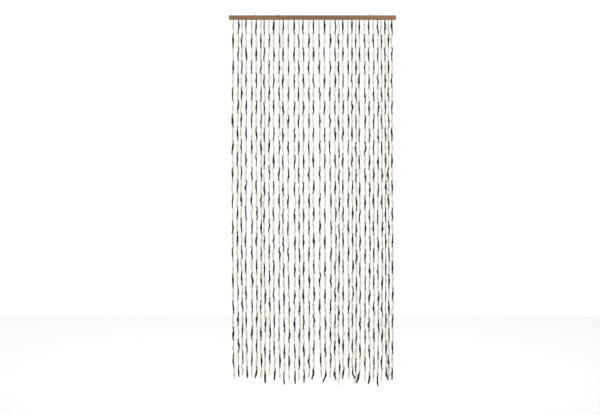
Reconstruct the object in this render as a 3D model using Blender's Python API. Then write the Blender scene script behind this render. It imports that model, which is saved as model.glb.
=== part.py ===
"""Knotted door curtain with the wooden bar that it hangs from.

Strips of black and cream cotton are tied end to end into strands. The strands hang side by side from
the underside of a plain bar, and two small screw eyes in its top hold it up in a doorway.

Metres, +Z up, the front facing -Y. The origin is the centre of the bar's back face.
"""

import math
import random
from collections import namedtuple

import bmesh
import bpy
import numpy
from mathutils import Matrix, Vector

MM = 0.001
GAP = 0.3 * MM  # between pieces that touch

# Wooden bar
BAR_WIDTH = 900 * MM
BAR_DEPTH = 18 * MM
BAR_HEIGHT = 22 * MM
BAR_EDGE = 1 * MM  # worn edge
BAR_MIDDLE_Y = -BAR_DEPTH / 2
BAR_TOP = BAR_HEIGHT / 2
BAR_UNDERSIDE = -BAR_HEIGHT / 2

# Heading strips, let into the bar's underside: one for each half of the strands
HEADING_DEPTH = 6 * MM
HEADING_HEIGHT = 4 * MM
HEADING_END = 436 * MM  # from the bar's middle
HEADINGS_MEET = 21 * MM  # right of the bar's middle, between two strands

# Screw eyes
EYE_SIDE = 308 * MM  # from the bar's middle
EYE_OUTER = 12 * MM
EYE_WIRE = 2 * MM
SHANK_RADIUS = 1.2 * MM
SHANK_IN_WOOD = 8 * MM
HOLE_RADIUS = SHANK_RADIUS + GAP
EYE_TURNS = {"eye_left": 78, "eye_right": 8}  # degrees about the vertical
EYE_SIGNS = {"eye_left": -1, "eye_right": 1}

# Cloth strips, tied end to end
STRIPS = 27  # in each strand
FIRST_LONGER = 6 * MM  # a strand's first strip, than the others; its last strip is as much shorter
ROOT_WIDTH = 5 * MM
BELLY = (5.0 * MM, 3.0 * MM)  # half width and half depth at a strip's middle
KNOT = (7.0 * MM, 4.5 * MM)
FOOT = (3.4 * MM, 1.8 * MM)
KNOT_SHIFT = 1.2 * MM
STRIP_BOW = 2.5 * MM
DEPTH_SHIFT = 0.6 * MM
TWIST = math.radians(14)
STAGGER_TOP = 2.0 * MM  # neighbours hang in turn ahead of the middle and behind it
STAGGER_FOOT = 3.5 * MM

# Each strand in millimetres: its root's distance right of the bar's middle, then how far it sways to
# the right of its root at SWAY_LEVELS below the bar and at its foot, and its length.
SWAY_LEVELS = (0, 593, 1186, 1671, 1913)
Strand = namedtuple("Strand", "root high middle low last foot length")
STRANDS = (
    Strand(-426, -4, -4, 0, 3, 3, 1940),
    Strand(-398, -5, -6, -2, 2, 2, 1927),
    Strand(-378, -7, -5, 2, 0, 0, 1922),
    Strand(-357, 0, -2, 1, 5, 5, 1932),
    Strand(-328, 1, 2, 3, 1, 1, 1932),
    Strand(-303, 1, 3, 4, 2, -6, 1932),
    Strand(-277, 0, 2, -1, 3, -5, 1938),
    Strand(-260, 2, 0, 7, 4, 4, 1959),
    Strand(-233, -1, 0, 4, 4, 4, 1919),
    Strand(-208, -2, -1, 1, 5, 5, 1943),
    Strand(-178, -1, 0, -1, 3, 3, 1940),
    Strand(-157, -2, 0, 6, 5, 5, 1965),
    Strand(-129, -1, -2, 5, 3, 3, 1951),
    Strand(-98, 1, 5, 1, 5, 5, 1962),
    Strand(-74, 0, 3, 6, 2, -4, 1951),
    Strand(-50, 2, 2, 3, 5, 5, 1954),
    Strand(-19, 0, 1, 2, 2, -5, 1943),
    Strand(6, -1, 1, 2, 2, -9, 1938),
    Strand(36, 4, 4, 4, 11, 11, 1935),
    Strand(64, 2, 4, 5, 7, -4, 1954),
    Strand(96, -2, 5, 2, 2, 2, 1940),
    Strand(122, 0, 3, -1, -1, 4, 1943),
    Strand(141, 1, 4, -1, 7, -1, 1978),
    Strand(163, 1, 2, 2, 5, -2, 1935),
    Strand(191, 3, 3, 5, 5, 5, 1940),
    Strand(213, 0, 4, 3, 4, 10, 1935),
    Strand(234, 1, 3, 3, 0, -4, 1965),
    Strand(253, -1, 3, 5, 1, -13, 1959),
    Strand(281, 3, 4, 3, 4, 4, 1959),
    Strand(303, 3, 6, 2, 7, 0, 1965),
    Strand(329, 1, 2, 3, 2, 2, 1949),
    Strand(352, 2, 1, 4, 0, -1, 1973),
    Strand(370, 4, 7, 6, 4, 4, 1954),
    Strand(390, 3, 5, 5, 8, 15, 1940),
    Strand(410, 0, 2, 2, 2, 2, 1946),
    Strand(428, 0, 4, 4, 1, -1, 1940),
)
IN_LEFT_HALF = 18  # strands on the left heading

Ring = namedtuple("Ring", "centre half_width half_depth turn colour")


def clear_scene():
    for item in list(bpy.data.objects):
        bpy.data.objects.remove(item, do_unlink=True)


def material(name, colour, roughness, metallic=0.0):
    """A Principled material of one colour."""
    made = bpy.data.materials.new(name)
    made.use_nodes = True
    made.diffuse_color = (*colour, 1.0)
    shader = made.node_tree.nodes["Principled BSDF"]
    shader.inputs["Base Color"].default_value = (*colour, 1.0)
    shader.inputs["Roughness"].default_value = roughness
    shader.inputs["Metallic"].default_value = metallic
    return made


def object_from(name, mesh, materials=()):
    """Put a finished bmesh in the scene as a named object."""
    data = bpy.data.meshes.new(name)
    mesh.to_mesh(data)
    mesh.free()
    for each in materials:
        data.materials.append(each)
    made = bpy.data.objects.new(name, data)
    bpy.context.scene.collection.objects.link(made)
    return made


def box(name, low, high, materials=()):
    """A box between two corners, with its origin at its centre."""
    low, high = Vector(low), Vector(high)
    mesh = bmesh.new()
    bmesh.ops.create_cube(mesh, size=1, matrix=Matrix.Diagonal((*(high - low), 1)))
    made = object_from(name, mesh, materials)
    made.location = (low + high) / 2
    return made


def cylinder(name, radius, low, high, sides):
    """An upright cylinder between two points on its axis."""
    low, high = Vector(low), Vector(high)
    mesh = bmesh.new()
    bmesh.ops.create_cone(
        mesh,
        cap_ends=True,
        segments=sides,
        radius1=radius,
        radius2=radius,
        depth=(high - low).length,
    )
    made = object_from(name, mesh)
    made.location = (low + high) / 2
    return made


def shade_smooth(item, sharp_above=40):
    """Round piece: smooth faces, with edges kept sharp where they turn by more than an angle."""
    item.data.shade_smooth()
    item.data.set_sharp_from_angle(angle=math.radians(sharp_above))


def combine(item, other, operation):
    """Cut another shape out of an object, or add it, and hide that shape."""
    step = item.modifiers.new(f"{operation.lower()} {other.name}", "BOOLEAN")
    step.operation = operation
    step.object = other
    step.solver = "EXACT"
    other.hide_render = True
    other.display_type = "WIRE"


def make_bar(wood):
    """The wooden bar, grooved underneath for the headings and drilled on top for the screw eyes."""
    bar = box(
        "bar",
        (-BAR_WIDTH / 2, -BAR_DEPTH, BAR_UNDERSIDE),
        (BAR_WIDTH / 2, 0, BAR_TOP),
        [wood],
    )
    edge = bar.modifiers.new("worn edge", "BEVEL")
    edge.width = BAR_EDGE
    edge.segments = 2

    groove_half_depth = HEADING_DEPTH / 2 + GAP
    groove = box(
        "groove cutter",
        (-HEADING_END - GAP, BAR_MIDDLE_Y - groove_half_depth, BAR_UNDERSIDE - BAR_EDGE),
        (HEADING_END + GAP, BAR_MIDDLE_Y + groove_half_depth, BAR_UNDERSIDE + HEADING_HEIGHT + GAP),
    )
    combine(bar, groove, "DIFFERENCE")
    for name, sign in EYE_SIGNS.items():
        x = sign * EYE_SIDE
        hole = cylinder(
            f"{name} hole cutter",
            HOLE_RADIUS,
            (x, BAR_MIDDLE_Y, BAR_TOP - SHANK_IN_WOOD - GAP),
            (x, BAR_MIDDLE_Y, BAR_TOP + BAR_EDGE),
            sides=12,
        )
        combine(bar, hole, "DIFFERENCE")


def make_eye(name, steel):
    """A steel screw eye: a closed ring just above the bar's top, on a shank that goes into its hole."""
    ring_radius = (EYE_OUTER - EYE_WIRE) / 2
    x = EYE_SIGNS[name] * EYE_SIDE
    centre = Vector((x, BAR_MIDDLE_Y, BAR_TOP + GAP + EYE_OUTER / 2))

    mesh = bmesh.new()
    wire = bmesh.ops.create_circle(
        mesh,
        segments=8,
        radius=EYE_WIRE / 2,
        matrix=Matrix.Translation((ring_radius, 0, 0)),
    )
    bmesh.ops.spin(
        mesh,
        geom=wire["verts"] + mesh.edges[:],
        cent=(0, 0, 0),
        axis=(0, 1, 0),
        angle=math.tau,
        steps=20,
        use_merge=True,
    )
    bmesh.ops.recalc_face_normals(mesh, faces=mesh.faces)
    eye = object_from(name, mesh, [steel])
    eye.location = centre
    eye.rotation_euler.z = math.radians(EYE_TURNS[name])

    shank = cylinder(
        f"{name} shank",
        SHANK_RADIUS,
        (x, BAR_MIDDLE_Y, BAR_TOP - SHANK_IN_WOOD),
        (x, BAR_MIDDLE_Y, centre.z - ring_radius),
        sides=10,
    )
    combine(eye, shank, "UNION")
    shade_smooth(eye)


def sway(strand, below):
    """How far right of its root a strand hangs, at a distance below the bar, in metres."""
    levels = (*SWAY_LEVELS, strand.length)
    sways = (0, strand.high, strand.middle, strand.low, strand.last, strand.foot)
    return float(numpy.interp(below / MM, levels, sways)) * MM


def stagger(number, share):
    """Depth of a strand, at a share of its length: odd strands hang behind even ones."""
    side = 1 if number % 2 else -1
    return BAR_MIDDLE_Y + side * (STAGGER_TOP + (STAGGER_FOOT - STAGGER_TOP) * share)


def strip_end(strand, strips):
    """How far below the bar a number of a strand's strips end, in metres."""
    length = strand.length * MM
    if strips in (0, STRIPS):
        return strips / STRIPS * length
    return strips / STRIPS * length + FIRST_LONGER


def strand_rings(number, strand):
    """A strand's rings from its root down: one at each strip's middle and one at each knot."""
    rng = random.Random(number)
    rings = []
    for half_step in range(1, 2 * STRIPS + 1):
        strip = (half_step - 1) // 2
        below = (strip_end(strand, half_step // 2) + strip_end(strand, (half_step + 1) // 2)) / 2
        share = below / (strand.length * MM)
        at_knot = half_step % 2 == 0
        at_foot = half_step == 2 * STRIPS
        shift = KNOT_SHIFT if at_knot else STRIP_BOW
        centre = Vector(
            (
                strand.root * MM + sway(strand, below) + rng.uniform(-shift, shift),
                stagger(number, share) + rng.uniform(-DEPTH_SHIFT, DEPTH_SHIFT),
                BAR_UNDERSIDE - below,
            )
        )
        half_width, half_depth = FOOT if at_foot else KNOT if at_knot else BELLY
        turn = rng.uniform(-TWIST, TWIST)
        colour = (number + strip) % 2
        rings.append(Ring(centre, half_width, half_depth, turn, colour))
    return rings


def ring_corners(ring):
    """Four corners of a strip's section, clockwise from its left seen from above."""
    turn = Matrix.Rotation(ring.turn, 3, "Z")
    arms = (
        Vector((-ring.half_width, 0, 0)),
        Vector((0, ring.half_depth, 0)),
        Vector((ring.half_width, 0, 0)),
        Vector((0, -ring.half_depth, 0)),
    )
    return [ring.centre + turn @ arm for arm in arms]


def draw_strand(mesh, cell, number, strand):
    """Draw a strand down out of its cell of the heading's underside, ring by ring."""
    end = cell
    for ring in strand_rings(number, strand):
        end = bmesh.ops.extrude_discrete_faces(mesh, faces=[end])["faces"][0]
        for vertex, corner in zip(end.verts, ring_corners(ring), strict=True):
            vertex.co = corner
        for edge in end.edges:
            for face in edge.link_faces:
                face.material_index = ring.colour


def heading_outline(strands, left, right):
    """Where the heading's underside is divided: its two ends, and both sides of each strand's root."""
    places = [left]
    for strand in strands:
        places += [strand.root * MM - ROOT_WIDTH / 2, strand.root * MM + ROOT_WIDTH / 2]
    return [*places, right]


def make_strands(name, first, strands, left, right, cloths):
    """One heading strip with its strands, all one body."""
    front = BAR_MIDDLE_Y - HEADING_DEPTH / 2
    back = BAR_MIDDLE_Y + HEADING_DEPTH / 2
    top = BAR_UNDERSIDE + HEADING_HEIGHT
    mesh = bmesh.new()
    places = heading_outline(strands, left, right)
    front_row = [mesh.verts.new((x, front, BAR_UNDERSIDE)) for x in places]
    back_row = [mesh.verts.new((x, back, BAR_UNDERSIDE)) for x in places]
    top_front = [mesh.verts.new((x, front, top)) for x in (left, right)]
    top_back = [mesh.verts.new((x, back, top)) for x in (left, right)]

    mesh.faces.new((*front_row, top_front[1], top_front[0]))
    mesh.faces.new((*reversed(back_row), top_back[0], top_back[1]))
    mesh.faces.new((*top_front, *reversed(top_back)))
    mesh.faces.new((back_row[0], front_row[0], top_front[0], top_back[0]))
    mesh.faces.new((front_row[-1], back_row[-1], top_back[1], top_front[1]))
    cells = []
    for i in range(len(places) - 1):
        face = mesh.faces.new((front_row[i], back_row[i], back_row[i + 1], front_row[i + 1]))
        if i % 2:
            cells.append(face)
    for number, (cell, strand) in enumerate(zip(cells, strands, strict=True), start=first):
        draw_strand(mesh, cell, number, strand)
    shade_smooth(object_from(name, mesh, cloths), sharp_above=60)


def build():
    clear_scene()
    wood = material("brown wood", (0.30, 0.18, 0.10), 0.6)
    steel = material("steel", (0.60, 0.60, 0.60), 0.35, 1.0)
    black = material("black cotton", (0.02, 0.02, 0.022), 0.95)
    cream = material("cream cotton", (0.80, 0.74, 0.62), 0.95)

    make_bar(wood)
    for name in EYE_SIGNS:
        make_eye(name, steel)
    # Odd strands begin with a cream strip and even ones with a black strip.
    cloths = [black, cream]
    left_strands = STRANDS[:IN_LEFT_HALF]
    right_strands = STRANDS[IN_LEFT_HALF:]
    meet = HEADINGS_MEET
    make_strands("strands_left", 1, left_strands, -HEADING_END, meet - GAP / 2, cloths)
    make_strands("strands_right", 1 + IN_LEFT_HALF, right_strands, meet + GAP / 2, HEADING_END, cloths)


build()
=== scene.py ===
"""Looks of a knotted door curtain: cotton strips tied end to end, under a stained wooden bar."""

import math
import random
from collections import namedtuple

import bmesh
import bpy
import numpy as np
from mathutils import Matrix, Vector


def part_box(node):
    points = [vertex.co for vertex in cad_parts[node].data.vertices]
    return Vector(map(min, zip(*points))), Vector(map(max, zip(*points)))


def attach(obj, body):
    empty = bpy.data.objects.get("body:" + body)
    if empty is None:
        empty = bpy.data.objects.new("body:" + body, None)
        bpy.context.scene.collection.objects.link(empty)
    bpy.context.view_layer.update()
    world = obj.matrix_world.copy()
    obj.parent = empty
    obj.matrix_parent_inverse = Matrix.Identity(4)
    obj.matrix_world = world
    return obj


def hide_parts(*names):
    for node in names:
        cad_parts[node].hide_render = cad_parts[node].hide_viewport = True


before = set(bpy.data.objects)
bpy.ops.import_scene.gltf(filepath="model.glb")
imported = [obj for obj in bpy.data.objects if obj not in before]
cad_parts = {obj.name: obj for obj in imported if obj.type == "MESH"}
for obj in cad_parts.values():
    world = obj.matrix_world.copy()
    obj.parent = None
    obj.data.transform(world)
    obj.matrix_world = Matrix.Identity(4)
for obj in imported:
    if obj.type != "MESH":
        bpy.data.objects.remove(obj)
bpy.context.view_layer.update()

MM = 0.001

# The photo's view: frontal, level with the curtain's middle. One pixel is 5.39 mm at the strands.
CAMERA_DISTANCE = 5.0
CAMERA_X = -0.067
CAMERA_Z = -1.0235
PHOTO_WIDTH = 3.234
SENSOR = 36

# The bar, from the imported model
BAR_LOW, BAR_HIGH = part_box("bar")
BAR_MIDDLE_Y = (BAR_LOW.y + BAR_HIGH.y) / 2
BAR_UNDERSIDE = BAR_LOW.z

# The stage: a plain pale floor, and a white surround as bright as these numbers say
FLOOR_Z = -2.007
FLOOR_FRONT = -0.75
FLOOR_BACK = 3.4
FLOOR_WIDTH = 9.0
FLOOR_DARK = (0.848, 0.844, 0.838)
FLOOR_LIGHT = (0.864, 0.860, 0.854)
WORLD_IN_FRONT = 0.32
WORLD_BEHIND = 1.03
WORLD_ABOVE = 1.3

# The key light is a soft square in front. The low light stands behind, in a wide flat beam.
Lamp = namedtuple("Lamp", "place target size power angle")
KEY = Lamp((0.3, -2.4, 0.7), (0, 0, -0.8), 1.2, 12.7, math.radians(75))
LOW_LIGHT = Lamp((0.79, 3.35, FLOOR_Z + 0.9), (-0.2, -0.35, FLOOR_Z), 0.04, 130, math.radians(11))
LOW_BEAM_WIDTH = 3.4  # over its height
LOW_BEAM_BLEND = 0.8

# Strands: the same table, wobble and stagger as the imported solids, which hold where each one hangs
STRIPS = 27
STRIP_SEEDS = 1000  # keeps the strips' draws apart from the strands' own
FIRST_LONGER = 6 * MM  # how much longer a strand's first strip is than the others
KNOT_SHIFT = 1.2 * MM
STRIP_BOW = 2.5 * MM
DEPTH_SHIFT = 0.6 * MM
TWIST = math.radians(14)
STAGGER_TOP = 2.0 * MM
STAGGER_FOOT = 3.5 * MM

# One row a strand, in millimetres: its root's place along the bar, how far right of that it hangs at four
# levels below the bar and at its foot, and its length.
SWAY_LEVELS = (0, 593, 1186, 1671, 1913)
Strand = namedtuple("Strand", "root high middle low last foot length")
STRANDS = (
    Strand(-426, -4, -4, 0, 3, 3, 1940),
    Strand(-398, -5, -6, -2, 2, 2, 1927),
    Strand(-378, -7, -5, 2, 0, 0, 1922),
    Strand(-357, 0, -2, 1, 5, 5, 1932),
    Strand(-328, 1, 2, 3, 1, 1, 1932),
    Strand(-303, 1, 3, 4, 2, -6, 1932),
    Strand(-277, 0, 2, -1, 3, -5, 1938),
    Strand(-260, 2, 0, 7, 4, 4, 1959),
    Strand(-233, -1, 0, 4, 4, 4, 1919),
    Strand(-208, -2, -1, 1, 5, 5, 1943),
    Strand(-178, -1, 0, -1, 3, 3, 1940),
    Strand(-157, -2, 0, 6, 5, 5, 1965),
    Strand(-129, -1, -2, 5, 3, 3, 1951),
    Strand(-98, 1, 5, 1, 5, 5, 1962),
    Strand(-74, 0, 3, 6, 2, -4, 1951),
    Strand(-50, 2, 2, 3, 5, 5, 1954),
    Strand(-19, 0, 1, 2, 2, -5, 1943),
    Strand(6, -1, 1, 2, 2, -9, 1938),
    Strand(36, 4, 4, 4, 11, 11, 1935),
    Strand(64, 2, 4, 5, 7, -4, 1954),
    Strand(96, -2, 5, 2, 2, 2, 1940),
    Strand(122, 0, 3, -1, -1, 4, 1943),
    Strand(141, 1, 4, -1, 7, -1, 1978),
    Strand(163, 1, 2, 2, 5, -2, 1935),
    Strand(191, 3, 3, 5, 5, 5, 1940),
    Strand(213, 0, 4, 3, 4, 10, 1935),
    Strand(234, 1, 3, 3, 0, -4, 1965),
    Strand(253, -1, 3, 5, 1, -13, 1959),
    Strand(281, 3, 4, 3, 4, 4, 1959),
    Strand(303, 3, 6, 2, 7, 0, 1965),
    Strand(329, 1, 2, 3, 2, 2, 1949),
    Strand(352, 2, 1, 4, 0, -1, 1973),
    Strand(370, 4, 7, 6, 4, 4, 1954),
    Strand(390, 3, 5, 5, 8, 15, 1940),
    Strand(410, 0, 2, 2, 2, 2, 1946),
    Strand(428, 0, 4, 4, 1, -1, 1940),
)
IN_LEFT_HALF = 18

# A square knot's upper strip, in millimetres: it comes down the knot's middle, loops round the lower
# strip and goes back up beside itself, where its tail begins. The lower strip follows the same path
# turned over. Front is -y. The last columns are the strip's half width and half thickness, and how many
# rings the stretch up to the next point takes.
PathPoint = namedtuple("PathPoint", "x y z half_width half_thickness rings")
KNOT_PATH = (
    PathPoint(0.5, 0.0, 13.0, 3.1, 2.5, 2),
    PathPoint(1.3, -1.0, 7.2, 2.6, 2.2, 2),
    PathPoint(1.8, -1.9, 2.9, 2.1, 1.9, 3),
    PathPoint(4.0, 1.7, 0.0, 2.0, 1.8, 3),
    PathPoint(2.2, -1.9, -1.8, 2.0, 1.8, 1),
    PathPoint(0.0, -2.4, -2.2, 2.2, 1.8, 1),
    PathPoint(-2.2, -1.9, -1.8, 2.0, 1.8, 3),
    PathPoint(-4.0, 1.7, 0.0, 2.0, 1.8, 3),
    PathPoint(-1.9, -2.0, 2.9, 2.1, 1.8, 2),
    PathPoint(-2.6, -1.5, 6.0, 2.5, 1.6, 2),
)
KNOT_TURN = math.radians(26)  # standard deviation, about the vertical
KNOT_TILT = math.radians(13)
CREAM_IN_FRONT = 0.92  # share of the knots with the cream strip's loop on top
FULLNESS = {"cream": 1.12, "black": 1.0}  # of a strip where it is knotted
KNOT_FULLNESS = (0.92, 1.08)
TAIL_SPREAD = (1.5, 4.2)
TAIL_LENGTH = (8.0, 12.5)
TAIL_DEPTH = (-1.5, 0.6)
TAIL_FLARE = (0.7, 1.2)
TAIL_END = (3.1, 0.9)

# A strip's half width and half thickness in millimetres where it hangs free: at its middle, halfway from
# there to a knot, at the bar and at the strand's foot
BELLY = (5.5, 3.9)
SHOULDER = (4.9, 3.4)
ROOT = (2.6, 2.6)
FOOT_NECK = {"cream": (2.6, 1.8), "black": (4.2, 2.8)}
FOOT = {"cream": (2.8, 1.1), "black": (4.3, 1.8)}

# How much fuller the lowest strips are than the highest, as a share
BELLY_FULLER_LOW = 0.03
SHOULDER_FULLER_LOW = 0.12

# Ranges that a run's random draws come from. Places are shares of the way to the strip's end.
RUN_FULLNESS = (0.85, 1.12)
SHOULDER_FULLNESS = (0.85, 1.1)
SHOULDER_PLACE = (0.38, 0.55)
BELLY_PLACE = 0.2
EXTRA_BOW = 1.8 * MM
RUN_TURN = 0.35  # standard deviation in radians
RUN_RINGS = 4  # for each stretch of a run
FIRST_RUN_RINGS = 3  # from the knot above into the run

# Millimetres at a strand's two ends, and how far a strip's own ends are ragged
ROOT_INSIDE = 2
ROOT_BELOW = 4
NECK_HEIGHT = (6, 10)
CURL_SIDEWAYS = (-2, 2)
CURL_IN_DEPTH = (-2, 1.5)
RAGGED_END = 1.0
FOOT_FLARE = (0.8, 1.1)  # a share of the foot's size

# Uneven fullness along a strip. A wave's pace is in radians a millimetre.
Wave = namedtuple("Wave", "pace height")
LONG_WAVE = Wave((0.16, 0.28), 0.09)
SHORT_WAVE = Wave((0.34, 0.5), 0.05)
PLEATS = Wave((0.05, 0.16), 0.07)
SLIT_TURN = 0.02  # standard deviation in radians a millimetre

# A strip's section: its edges curl round until they meet, which leaves a slit along it. Each point is an
# angle from the slit and a share of the half width or half thickness.
SectionPoint = namedtuple("SectionPoint", "angle reach")
SECTION = (
    SectionPoint(0.0, 0.38),
    SectionPoint(0.42, 0.98),
    SectionPoint(1.25, 1.03),
    SectionPoint(2.15, 1.0),
    SectionPoint(math.pi, 0.97),
    SectionPoint(math.tau - 2.15, 1.0),
    SectionPoint(math.tau - 1.25, 1.03),
    SectionPoint(math.tau - 0.42, 0.98),
)
SIDES = len(SECTION)


# Strand paths


def sway(strand, below):
    """How far right of its root a strand hangs, at a distance below the bar, in metres."""
    levels = (*SWAY_LEVELS, strand.length)
    sways = (0, strand.high, strand.middle, strand.low, strand.last, strand.foot)
    return float(np.interp(below / MM, levels, sways)) * MM


def stagger(number, share):
    """Depth of a strand, at a share of its length: odd strands hang behind even ones."""
    side = 1 if number % 2 else -1
    return BAR_MIDDLE_Y + side * (STAGGER_TOP + (STAGGER_FOOT - STAGGER_TOP) * share)


def strip_end(strand, strips):
    """How far below the bar a number of a strand's strips end, in metres."""
    length = strand.length * MM
    if strips in (0, STRIPS):
        return strips / STRIPS * length
    return strips / STRIPS * length + FIRST_LONGER


def strand_centres(number, strand):
    """A strand's centre at each strip's middle and each knot in turn, from its root down."""
    rng = random.Random(number)
    centres = []
    for half_step in range(1, 2 * STRIPS + 1):
        below = (strip_end(strand, half_step // 2) + strip_end(strand, (half_step + 1) // 2)) / 2
        shift = STRIP_BOW if half_step % 2 else KNOT_SHIFT
        x = strand.root * MM + sway(strand, below) + rng.uniform(-shift, shift)
        y = stagger(number, below / (strand.length * MM)) + rng.uniform(-DEPTH_SHIFT, DEPTH_SHIFT)
        rng.uniform(-TWIST, TWIST)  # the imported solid's twist, which keeps the draws in step
        centres.append(np.array((x, y, BAR_UNDERSIDE - below)))
    return centres


Knot = namedtuple("Knot", "centre axes angle sign_x sign_y")


def make_knot(centre, upper_colour, rng):
    """A knot's place, its turn and tilt, and which strip's loop lies in front."""
    angle = rng.gauss(0, KNOT_TURN)
    tilt = rng.uniform(-KNOT_TILT, KNOT_TILT)
    axes = Matrix.Rotation(angle, 3, "Z") @ Matrix.Rotation(tilt, 3, "Y")
    cream_in_front = rng.random() < CREAM_IN_FRONT
    upper_in_front = cream_in_front == (upper_colour == "cream")
    return Knot(centre, np.array(axes), angle, rng.choice((-1, 1)), 1 if upper_in_front else -1)


def facing(angle):
    """The horizontal direction through a strip's thickness, at an angle about the vertical."""
    return np.array((-math.sin(angle), math.cos(angle), 0.0))


def knot_rows(knot, upper, colour, rng):
    """Path rows of one strip through a knot, from its run into its tail."""
    turned_over = 1 if upper else -1
    fullness = FULLNESS[colour] * rng.uniform(*KNOT_FULLNESS)
    spread, length = rng.uniform(*TAIL_SPREAD), rng.uniform(*TAIL_LENGTH)
    depth, flare = rng.uniform(*TAIL_DEPTH), rng.uniform(*TAIL_FLARE)
    tail = PathPoint(-spread, depth, length, TAIL_END[0] * flare, TAIL_END[1], 0)
    rows = []
    for point in (*KNOT_PATH, tail):
        flips = (knot.sign_x, knot.sign_y * turned_over, turned_over)
        place = knot.centre + knot.axes @ (np.array((point.x, point.y, point.z)) * flips * MM)
        size = (point.half_width * fullness * MM, point.half_thickness * fullness * MM)
        rows.append((np.array((*place, *size, *(knot.axes @ (0.0, 1.0, 0.0)))), point.rings))
    return rows


def plain_row(place, size, angle, rings):
    """A path row where the strip hangs free."""
    return np.array((*place, size[0] * MM, size[1] * MM, *facing(angle))), rings


def run_rows(start, middle, end, angles, rng):
    """Rows of a strip's run between two knots: it opens out at a belly near its middle."""
    share = (BAR_UNDERSIDE - middle[2]) / (BAR_UNDERSIDE - FLOOR_Z)
    fullness = rng.uniform(*RUN_FULLNESS)
    shoulder = [s * fullness * (1 + SHOULDER_FULLER_LOW * share) for s in SHOULDER]
    widest = [s * fullness * (1 + BELLY_FULLER_LOW * share) for s in BELLY]
    turn = rng.gauss(0, RUN_TURN)
    drop = rng.uniform(-BELLY_PLACE, BELLY_PLACE)
    belly = middle + (end - middle if drop > 0 else middle - start) * drop
    belly[0] += rng.uniform(-EXTRA_BOW, EXTRA_BOW)
    above = belly + (start - belly) * rng.uniform(*SHOULDER_PLACE)
    below = belly + (end - belly) * rng.uniform(*SHOULDER_PLACE)
    size_above = [s * rng.uniform(*SHOULDER_FULLNESS) for s in shoulder]
    size_below = [s * rng.uniform(*SHOULDER_FULLNESS) for s in shoulder]
    top, bottom = angles
    return [
        plain_row(above, size_above, top + turn / 2, RUN_RINGS),
        plain_row(belly, widest, (top + bottom) / 2 + turn, RUN_RINGS),
        plain_row(below, size_below, bottom + turn / 2, RUN_RINGS),
    ]


def strip_rows(upper_knot, root, middle, lower_knot, foot, colour, rng):
    """All rows of one strip from its top end to its bottom end."""
    top_angle = upper_knot.angle if upper_knot else 0
    bottom_angle = lower_knot.angle if lower_knot else top_angle
    if upper_knot:
        places = [row for row, _ in knot_rows(upper_knot, False, colour, rng)][::-1]
        counts = [point.rings for point in KNOT_PATH][::-1] + [FIRST_RUN_RINGS]
        rows = list(zip(places, counts, strict=True))
    else:
        inside = root + np.array((0, 0, ROOT_INSIDE * MM))
        below = root + np.array((0, 0, -ROOT_BELOW * MM))
        rows = [plain_row(inside, ROOT, 0, 1), plain_row(below, ROOT, 0, RUN_RINGS)]
    if lower_knot:
        ending = knot_rows(lower_knot, True, colour, rng)
        end = ending[0][0][:3]
    else:
        end = foot
        curl = np.array((rng.uniform(*CURL_SIDEWAYS), rng.uniform(*CURL_IN_DEPTH), 0)) * MM
        neck = foot + np.array((0, 0, rng.uniform(*NECK_HEIGHT) * MM)) - curl
        flare = rng.uniform(*FOOT_FLARE)
        ending = [
            plain_row(neck, FOOT_NECK[colour], bottom_angle, RUN_RINGS),
            plain_row(foot, [s * flare for s in FOOT[colour]], bottom_angle, 0),
        ]
    start = rows[-1][0][:3]
    rows += run_rows(start, middle, end, (top_angle, bottom_angle), rng)
    return rows + ending


def smooth_rows(rows):
    """Catmull-Rom curve through path rows, with each row's own number of rings up to the next."""
    points = np.array([row for row, _ in rows])
    counts = [count for _, count in rows[:-1]]
    padded = np.vstack((2 * points[0] - points[1], points, 2 * points[-1] - points[-2]))
    rings = []
    for i, count in enumerate(counts):
        a, b, c, d = padded[i : i + 4]
        t = (np.arange(count) / count)[:, None]
        square = (2 * a - 5 * b + 4 * c - d) * t**2
        cube = (3 * b - a - 3 * c + d) * t**3
        rings.append(0.5 * (2 * b + (c - a) * t + square + cube))
    rings.append(points[-1:])
    return np.vstack(rings)


# Strip meshes


def unit(vectors):
    """Each row of an array, at length 1."""
    return vectors / np.linalg.norm(vectors, axis=1, keepdims=True)


def lumps(travel, rng):
    """Uneven fullness along a strip, at distances in millimetres from its top end."""
    long_wave = np.sin(travel * rng.uniform(*LONG_WAVE.pace) + rng.uniform(0, math.tau))
    short_wave = np.sin(travel * rng.uniform(*SHORT_WAVE.pace) + rng.uniform(0, math.tau))
    return 1 + LONG_WAVE.height * long_wave + SHORT_WAVE.height * short_wave


def strip_surface(rings, rng):
    """Points round each ring of a strip: its curled section, turning slowly along it."""
    centre, half_width, half_thickness = rings[:, :3], rings[:, 3:4], rings[:, 4:5]
    along = unit(np.gradient(centre, axis=0))
    across = unit(np.cross(along, rings[:, 5:8]))
    through = np.cross(across, along)
    steps = np.linalg.norm(np.diff(centre, axis=0), axis=1)
    travel = np.concatenate(((0,), np.cumsum(steps)))[:, None] / MM

    angles = np.array([point.angle for point in SECTION])[None, :]
    reaches = np.array([point.reach for point in SECTION])[None, :]
    theta = angles + rng.uniform(0, math.tau) + travel * rng.gauss(0, SLIT_TURN)
    phase = travel * rng.uniform(*PLEATS.pace) + rng.uniform(0, math.tau)
    pleats = PLEATS.height * np.cos(3 * angles + phase)
    reach = (reaches + pleats) * lumps(travel, rng)
    points = (
        centre[:, None, :]
        + (reach * np.cos(theta) * half_width)[:, :, None] * across[:, None, :]
        + (reach * np.sin(theta) * half_thickness)[:, :, None] * through[:, None, :]
    )
    for end, direction in ((0, -1), (-1, 1)):
        ragged = np.array([rng.uniform(-RAGGED_END, RAGGED_END) for _ in range(SIDES)]) * MM
        points[end] += direction * ragged[:, None] * along[end]
    girth = math.pi * float(np.mean(half_width + half_thickness)) / MM
    return points, travel[:, 0], girth


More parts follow.
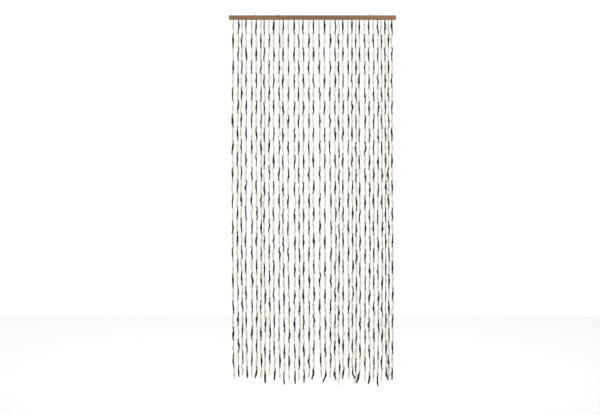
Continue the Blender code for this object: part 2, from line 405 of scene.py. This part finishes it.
class Piece:
    """Gathers the strips of one colour on one strand into a mesh."""

    def __init__(self, name):
        self.name = name
        self.points = []
        self.quads = []
        self.ends = []
        self.weave = []
        self.shade = []
        self.slit = []
        self.count = 0

    def add_strip(self, rings, rng):
        """Adds a strip's skin and two end caps, with the lengths along and round it for the weave."""
        points, travel, girth = strip_surface(rings, rng)
        number = len(points)
        index = self.count + np.arange(number * SIDES).reshape(number, SIDES)
        here, after = index[:-1], index[1:]
        turned_here, turned_after = np.roll(here, -1, axis=1), np.roll(after, -1, axis=1)
        self.quads.append(np.stack((here, after, turned_after, turned_here), axis=2).reshape(-1, 4))
        self.ends.append(index[0])
        self.ends.append(index[-1][::-1])
        around = np.arange(SIDES + 1) * girth / SIDES
        left = np.meshgrid(around[:-1], travel[:-1])[0]
        right = np.meshgrid(around[1:], travel[:-1])[0]
        low = np.repeat(travel[:-1, None], SIDES, axis=1)
        high = np.repeat(travel[1:, None], SIDES, axis=1)
        corners = np.stack((left, low, left, high, right, high, right, low), axis=2)
        self.weave.append(corners.reshape(-1, 4, 2))
        self.points.append(points.reshape(-1, 3))
        self.shade.append(np.full(number * SIDES, rng.random(), np.float32))
        # Marks the points along the slit, which the material darkens with painted shade.
        at_slit = np.array([point.angle == 0 for point in SECTION], np.float32)
        self.slit.append(np.tile(at_slit, number))
        self.count += number * SIDES

    def build(self, material, slot, nodes):
        """Turns what was gathered into an object that rides the root and replaces the given nodes."""
        points = np.vstack(self.points).astype(np.float32)
        quads = np.vstack(self.quads)
        ends = np.array(self.ends)
        corners = np.concatenate((quads.ravel(), ends.ravel()))
        sizes = np.concatenate((np.full(len(quads), 4), np.full(len(ends), SIDES)))
        starts = np.concatenate(((0,), np.cumsum(sizes)[:-1]))
        mesh = bpy.data.meshes.new(self.name)
        mesh.vertices.add(len(points))
        mesh.vertices.foreach_set("co", points.ravel())
        mesh.loops.add(len(corners))
        mesh.loops.foreach_set("vertex_index", corners.astype(np.int32))
        mesh.polygons.add(len(sizes))
        mesh.polygons.foreach_set("loop_start", starts.astype(np.int32))
        mesh.update(calc_edges=True)
        mesh.validate()
        mesh.shade_smooth()
        weave = mesh.uv_layers.new(name="weave")
        flat = np.zeros((len(corners), 2), np.float32)
        flat[: quads.size] = np.vstack(self.weave).reshape(-1, 2)
        weave.data.foreach_set("uv", flat.ravel())
        for attribute, values in (("shade", self.shade), ("slit", self.slit)):
            layer = mesh.attributes.new(attribute, "FLOAT", "POINT")
            layer.data.foreach_set("value", np.concatenate(values))
        mesh.materials.append(material)
        piece = bpy.data.objects.new(self.name, mesh)
        bpy.context.scene.collection.objects.link(piece)
        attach(piece, "root")
        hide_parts(*nodes)


def make_strand(number, strand, materials):
    """One strand: its strips in turn, each tied to the next with a square knot."""
    centres = strand_centres(number, strand)
    middles, ends = centres[0::2], centres[1::2]
    rng = random.Random(STRIP_SEEDS + number)
    colours = [("black", "cream")[(number + strip) % 2] for strip in range(STRIPS)]
    knots = [None]
    for colour, place in zip(colours[:-1], ends[:-1], strict=True):
        knots.append(make_knot(place, colour, rng))
    knots.append(None)
    root = np.array((strand.root * MM, BAR_MIDDLE_Y, BAR_UNDERSIDE))
    pieces = {colour: Piece(f"strand_{number:02d}_{colour}") for colour in materials}
    for strip, colour in enumerate(colours):
        rows = strip_rows(knots[strip], root, middles[strip], knots[strip + 1], ends[-1], colour, rng)
        pieces[colour].add_strip(smooth_rows(rows), rng)
    node = "strands_left" if number <= IN_LEFT_HALF else "strands_right"
    for colour, piece in pieces.items():
        piece.build(materials[colour], f"{colour}_cotton", [node])


# Materials


# The colour mix node's sockets: its names repeat for other kinds of data
MIX_SHARE = 0
MIX_A = 6
MIX_B = 7
MIX_RESULT = 2


class Shader:
    """A Principled material's node tree, with short ways to add and join nodes."""

    def __init__(self, name, roughness, metallic=0.0, **constants):
        self.material = bpy.data.materials.new(name)
        self.material.use_nodes = True
        self.tree = self.material.node_tree
        self.out = self.tree.nodes["Principled BSDF"]
        self.out.inputs["Roughness"].default_value = roughness
        self.out.inputs["Metallic"].default_value = metallic
        for socket, value in constants.items():
            self.out.inputs[socket.replace("_", " ")].default_value = value

    def node(self, kind, settings=None, inputs=None):
        """A node with its settings, and its inputs by name or index, each a value or another's output."""
        made = self.tree.nodes.new(kind)
        for key, value in (settings or {}).items():
            setattr(made, key, value)
        for key, value in (inputs or {}).items():
            if isinstance(value, bpy.types.NodeSocket):
                self.tree.links.new(value, made.inputs[key])
            else:
                made.inputs[key].default_value = value
        return made

    def maths(self, operation, a, b=0.0):
        """A sum, product or the like, whose second number the one-number operations don't use."""
        return self.node("ShaderNodeMath", {"operation": operation}, {0: a, 1: b}).outputs[0]

    def noise(self, vector, scale, detail=3.0, roughness=0.55):
        """Cloudy noise, about 0.5 on average."""
        inputs = {"Vector": vector, "Scale": scale, "Detail": detail, "Roughness": roughness}
        return self.node("ShaderNodeTexNoise", None, inputs).outputs["Fac"]

    def stretched(self, vector, scale):
        """A place scaled along each axis."""
        made = self.node("ShaderNodeVectorMath", {"operation": "MULTIPLY"}, {0: vector, 1: scale})
        return made.outputs[0]

    def mix(self, share, a, b):
        """Colour a where share is 0, and b where it is 1."""
        sockets = {MIX_SHARE: share, MIX_A: a, MIX_B: b}
        return self.node("ShaderNodeMix", {"data_type": "RGBA"}, sockets).outputs[MIX_RESULT]

    def tint(self, tone, share, amount, colour):
        """A tone with a colour over it, as strong as share says and at most by an amount."""
        return self.mix(self.maths("MULTIPLY", share, amount), tone, rgb(*colour))

    def between(self, value, low, high):
        """0 where value is at low, 1 where it is at high."""
        inputs = {"Value": value, "From Min": low, "From Max": high}
        made = self.node("ShaderNodeMapRange", {"interpolation_type": "SMOOTHSTEP"}, inputs)
        return made.outputs["Result"]

    def bump(self, height, distance, strength):
        """Fine relief, on the material's normal."""
        inputs = {"Height": height, "Distance": distance, "Strength": strength}
        self.join(self.node("ShaderNodeBump", None, inputs).outputs["Normal"], "Normal")

    def split(self, vector):
        """A vector's x, y and z."""
        return self.node("ShaderNodeSeparateXYZ", None, {"Vector": vector}).outputs

    def join(self, socket, name):
        """Joins an output to one of the material's own inputs."""
        self.tree.links.new(socket, self.out.inputs[name])


def rgb(red, green, blue):
    """A colour with full opacity."""
    return (red, green, blue, 1.0)


# Ribs and courses of the knit, in radians a millimetre
RIB_PACE = 7.0
COURSE_PACE = 9.0


def cotton(name, light, dark, painted_slit_shade, speckle, sheen):
    """Soft cotton jersey: fine lengthwise ribs, a mottled colour, painted shade in the slit and in the
    ribs' grooves, and a little fuzz.
    """
    shader = Shader(name, 0.92, Sheen_Weight=sheen, Sheen_Roughness=0.5, Specular_IOR_Level=0.2)
    weave = shader.node("ShaderNodeUVMap", {"uv_map": "weave"}).outputs["UV"]
    place = shader.node("ShaderNodeTexCoord").outputs["Object"]
    strip = shader.node("ShaderNodeAttribute", {"attribute_name": "shade"}).outputs["Fac"]
    slit = shader.node("ShaderNodeAttribute", {"attribute_name": "slit"}).outputs["Fac"]

    wobble = shader.noise(place, 900.0, 2.0)
    round_strip, along_strip = shader.split(weave)[:2]
    rib_phase = shader.maths("ADD", shader.maths("MULTIPLY", round_strip, RIB_PACE), wobble)
    ribs = shader.maths("SINE", rib_phase)
    courses = shader.maths("SINE", shader.maths("MULTIPLY", along_strip, COURSE_PACE))
    knit = shader.maths("ADD", ribs, shader.maths("MULTIPLY", courses, 0.5))
    soft = shader.noise(place, 260.0, 4.0)
    fuzz = shader.noise(place, 2600.0, 2.0, 0.7)

    tone = shader.mix(shader.between(soft, 0.35, 0.68), rgb(*dark), rgb(*light))
    tone = shader.tint(tone, strip, 0.35, dark)
    # Painted shade: the knit's grooves between the ribs are darkened.
    painted_groove_shade = shader.maths("SUBTRACT", 1.0, shader.between(knit, -1.2, 0.2))
    tone = shader.tint(tone, painted_groove_shade, 0.22, dark)
    tone = shader.tint(tone, shader.between(fuzz, 0.60, 0.75), 0.35, speckle)
    # Painted shade: darkens the points along the slit, as if shade fell into it.
    tone = shader.tint(tone, slit, 0.75, painted_slit_shade)
    shader.join(tone, "Base Color")
    height = shader.maths("ADD", shader.maths("MULTIPLY", knit, 0.25), fuzz)
    shader.bump(height, 0.00025, 0.7)
    return shader.material


WOOD = {
    "dark": (0.166, 0.085, 0.045),
    "light": (0.276, 0.143, 0.076),
    "olive": (0.212, 0.131, 0.066),
    "warm": (0.355, 0.191, 0.100),
    "fibre": (0.12, 0.06, 0.032),
    "edge": (0.22, 0.125, 0.07),
    "mark": (0.045, 0.022, 0.014),
}
WOOD_MIDDLE_X = 0.03  # where it is least warm

# The dark mark's place on the bar and its size, in metres
Mark = namedtuple("Mark", "x z half_width half_height")
MARK = Mark(-0.186, 0.0085, 0.012, 0.004)


def stained_wood():
    """Brown stained softwood: grain along the bar, a darker middle, warmer ends and one dark mark."""
    shader = Shader("stained wood", 0.6, Specular_IOR_Level=0.2)
    place = shader.node("ShaderNodeTexCoord").outputs["Object"]
    x, _, z = shader.split(place)
    grain = shader.noise(shader.stretched(place, (9, 420, 420)), 1.0, 5.0, 0.62)
    fibres = shader.noise(shader.stretched(place, (60, 3200, 3200)), 1.0, 3.0, 0.6)
    patches = shader.noise(shader.stretched(place, (26, 60, 60)), 1.0, 2.0)
    tints = shader.noise(shader.stretched(place, (38, 90, 90)), 1.0, 2.0)

    tone = shader.mix(shader.between(grain, 0.32, 0.68), rgb(*WOOD["dark"]), rgb(*WOOD["light"]))
    tone = shader.mix(shader.between(tints, 0.45, 0.62), tone, rgb(*WOOD["olive"]))
    distance = shader.maths("ABSOLUTE", shader.maths("SUBTRACT", x, WOOD_MIDDLE_X))
    uneven = shader.maths("ADD", distance, shader.maths("MULTIPLY", patches, 0.2))
    tone = shader.tint(tone, shader.between(uneven, 0.12, 0.56), 0.55, WOOD["warm"])
    tone = shader.tint(tone, shader.between(fibres, 0.45, 0.75), 0.3, WOOD["fibre"])
    edge = shader.between(shader.maths("ABSOLUTE", z), 0.0065, 0.011)
    tone = shader.tint(tone, edge, 0.4, WOOD["edge"])

    off_x = shader.maths("DIVIDE", shader.maths("SUBTRACT", x, MARK.x), MARK.half_width)
    off_z = shader.maths("DIVIDE", shader.maths("SUBTRACT", z, MARK.z), MARK.half_height)
    square_x = shader.maths("MULTIPLY", off_x, off_x)
    square_z = shader.maths("MULTIPLY", off_z, off_z)
    mark = shader.between(shader.maths("ADD", square_x, square_z), 1.6, 0.3)
    tone = shader.tint(tone, mark, 0.95, WOOD["mark"])
    shader.join(tone, "Base Color")
    shader.join(shader.maths("ADD", shader.maths("MULTIPLY", grain, 0.25), 0.48), "Roughness")
    shader.bump(shader.maths("ADD", grain, shader.maths("MULTIPLY", fibres, 0.6)), 0.0003, 0.6)
    return shader.material


def plated_steel():
    """Zinc-plated wire, a little scuffed."""
    shader = Shader("plated steel", 0.35, 1.0)
    place = shader.node("ShaderNodeTexCoord").outputs["Object"]
    scuffs = shader.noise(place, 900.0, 4.0)
    tone = shader.mix(scuffs, rgb(0.42, 0.42, 0.43), rgb(0.68, 0.67, 0.65))
    shader.join(tone, "Base Color")
    shader.join(shader.maths("ADD", shader.maths("MULTIPLY", scuffs, 0.3), 0.22), "Roughness")
    shader.bump(scuffs, 0.0001, 0.4)
    return shader.material


THREAD_PACE = 7000.0  # radians a metre


def woven_tape():
    """Plain woven cotton tape."""
    shader = Shader("woven tape", 0.9, Sheen_Weight=0.2, Sheen_Roughness=0.5)
    place = shader.node("ShaderNodeTexCoord").outputs["Object"]
    x, y, _ = shader.split(place)
    warp = shader.maths("SINE", shader.maths("MULTIPLY", y, THREAD_PACE))
    weft = shader.maths("SINE", shader.maths("MULTIPLY", x, THREAD_PACE))
    threads = shader.maths("MULTIPLY", warp, weft)
    tone = shader.mix(shader.between(threads, -1.0, 1.0), rgb(0.50, 0.44, 0.34), rgb(0.76, 0.70, 0.58))
    shader.join(tone, "Base Color")
    shader.bump(threads, 0.0002, 0.8)
    return shader.material


# Heading tapes, seen only from below


TAPE_HALF_DEPTH = 3 * MM
TAPE_RISE = (0.4 * MM, 3.6 * MM)  # its underside and its top, above the bar's underside
TAPE_ROUNDING = 0.8 * MM


def make_tape(name, node, material):
    """A woven tape in the bar's groove, which the strands' upper ends are sewn to."""
    low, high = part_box(node)
    low = Vector((low.x, BAR_MIDDLE_Y - TAPE_HALF_DEPTH, BAR_UNDERSIDE + TAPE_RISE[0]))
    high = Vector((high.x, BAR_MIDDLE_Y + TAPE_HALF_DEPTH, BAR_UNDERSIDE + TAPE_RISE[1]))
    mesh = bmesh.new()
    matrix = Matrix.Translation((low + high) / 2) @ Matrix.Diagonal((*(high - low), 1))
    bmesh.ops.create_cube(mesh, size=1, matrix=matrix)
    bmesh.ops.bevel(
        mesh, geom=mesh.edges[:], offset=TAPE_ROUNDING, segments=3, profile=0.5, affect="EDGES"
    )
    data = bpy.data.meshes.new(name)
    mesh.to_mesh(data)
    mesh.free()
    data.shade_smooth()
    data.materials.append(material)
    tape = bpy.data.objects.new(name, data)
    bpy.context.scene.collection.objects.link(tape)
    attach(tape, "root")
    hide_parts(node)


# Stage


def make_camera():
    """A camera in front, level with the curtain's middle, with the photo's frame."""
    data = bpy.data.cameras.new("camera")
    data.sensor_width = SENSOR
    data.lens = SENSOR * CAMERA_DISTANCE / PHOTO_WIDTH
    camera = bpy.data.objects.new("camera", data)
    camera.location = (CAMERA_X, BAR_MIDDLE_Y - CAMERA_DISTANCE, CAMERA_Z)
    camera.rotation_euler = (math.radians(90), 0, 0)
    bpy.context.scene.collection.objects.link(camera)
    bpy.context.scene.camera = camera


def make_floor():
    """A plain pale floor just below the strands."""
    shader = Shader("pale floor", 0.8, Specular_IOR_Level=0.1)
    place = shader.node("ShaderNodeTexCoord").outputs["Object"]
    tone = shader.mix(shader.noise(place, 3.0), rgb(*FLOOR_DARK), rgb(*FLOOR_LIGHT))
    shader.join(tone, "Base Color")
    mesh = bmesh.new()
    scale = Matrix.Diagonal((FLOOR_WIDTH / 2, (FLOOR_BACK - FLOOR_FRONT) / 2, 1, 1))
    bmesh.ops.create_grid(mesh, x_segments=1, y_segments=1, size=1, matrix=scale)
    data = bpy.data.meshes.new("floor")
    mesh.to_mesh(data)
    mesh.free()
    data.materials.append(shader.material)
    floor = bpy.data.objects.new("floor", data)
    floor.location = (0, (FLOOR_FRONT + FLOOR_BACK) / 2, FLOOR_Z)
    bpy.context.scene.collection.objects.link(floor)


def place_lamp(data, lamp):
    """Puts a light in its place, hidden from the camera, so that it points at its target."""
    made = bpy.data.objects.new(data.name, data)
    made.location = lamp.place
    direction = Vector(lamp.target) - Vector(lamp.place)
    made.rotation_euler = direction.to_track_quat("-Z", "Y").to_euler()
    made.visible_camera = False
    bpy.context.scene.collection.objects.link(made)
    return made


def key_light():
    """A soft light in front, above and a little to the right."""
    data = bpy.data.lights.new("key", "AREA")
    data.size = KEY.size
    data.energy = KEY.power
    data.spread = KEY.angle
    place_lamp(data, KEY)


def low_light():
    """A small light low behind, in a wide flat beam."""
    data = bpy.data.lights.new("low back light", "SPOT")
    data.shadow_soft_size = LOW_LIGHT.size
    data.energy = LOW_LIGHT.power
    data.spot_size = LOW_LIGHT.angle
    data.spot_blend = LOW_BEAM_BLEND
    made = place_lamp(data, LOW_LIGHT)
    made.scale = (LOW_BEAM_WIDTH, 1, 1)


# How the surround's brightness rises with the direction's y, to behind, and with its z, to overhead
Ramp = namedtuple("Ramp", "axis low high least most")
WORLD_RAMPS = (
    Ramp(1, -0.2, 0.5, WORLD_IN_FRONT, WORLD_BEHIND),
    Ramp(2, 0.65, 0.95, 0.0, WORLD_ABOVE),
)


def make_world():
    """A white studio: white behind the curtain, brighter overhead and dim in front, where the key is."""
    world = bpy.data.worlds.new("studio")
    world.use_nodes = True
    bpy.context.scene.world = world
    tree = world.node_tree
    back = tree.nodes["Background"]
    direction = tree.nodes.new("ShaderNodeTexCoord").outputs["Generated"]
    split = tree.nodes.new("ShaderNodeSeparateXYZ")
    tree.links.new(direction, split.inputs[0])
    strength = tree.nodes.new("ShaderNodeMath")
    for index, ramp in enumerate(WORLD_RAMPS):
        made = tree.nodes.new("ShaderNodeMapRange")
        made.interpolation_type = "SMOOTHSTEP"
        tree.links.new(split.outputs[ramp.axis], made.inputs["Value"])
        limits = {"From Min": ramp.low, "From Max": ramp.high, "To Min": ramp.least, "To Max": ramp.most}
        for name, value in limits.items():
            made.inputs[name].default_value = value
        tree.links.new(made.outputs["Result"], strength.inputs[index])
    tree.links.new(strength.outputs[0], back.inputs["Strength"])
    back.inputs["Color"].default_value = (1, 1, 1, 1)


def make_lights():
    """The surround, the key light and the low light, with colours shown as they are."""
    make_world()
    key_light()
    low_light()
    bpy.context.scene.view_settings.view_transform = "Standard"


# Each cloth's colours. The slit's colour is painted shade, darker than the cloth.
CREAM = {
    "light": (0.83, 0.788, 0.682),
    "dark": (0.675, 0.608, 0.482),
    "painted_slit_shade": (0.39, 0.31, 0.20),
    "speckle": (0.88, 0.85, 0.76),
    "sheen": 0.15,
}
BLACK = {
    "light": (0.050, 0.042, 0.034),
    "dark": (0.024, 0.020, 0.0165),
    "painted_slit_shade": (0.008, 0.007, 0.006),
    "speckle": (0.060, 0.052, 0.043),
    "sheen": 0.03,
}


def main():
    """Dresses the bar, the screw eyes and every strand, and sets the stage."""
    make_camera()
    materials = {"cream": cotton("cream cotton", **CREAM), "black": cotton("black cotton", **BLACK)}
    for number, strand in enumerate(STRANDS, start=1):
        make_strand(number, strand, materials)
    tape = woven_tape()
    make_tape("tape_left", "strands_left", tape)
    make_tape("tape_right", "strands_right", tape)
    steel = plated_steel()
    looks = {"bar": stained_wood(), "eye_left": steel, "eye_right": steel}
    for node, material in looks.items():
        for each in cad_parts[node].material_slots:
            each.material = material
    make_floor()
    make_lights()


main()
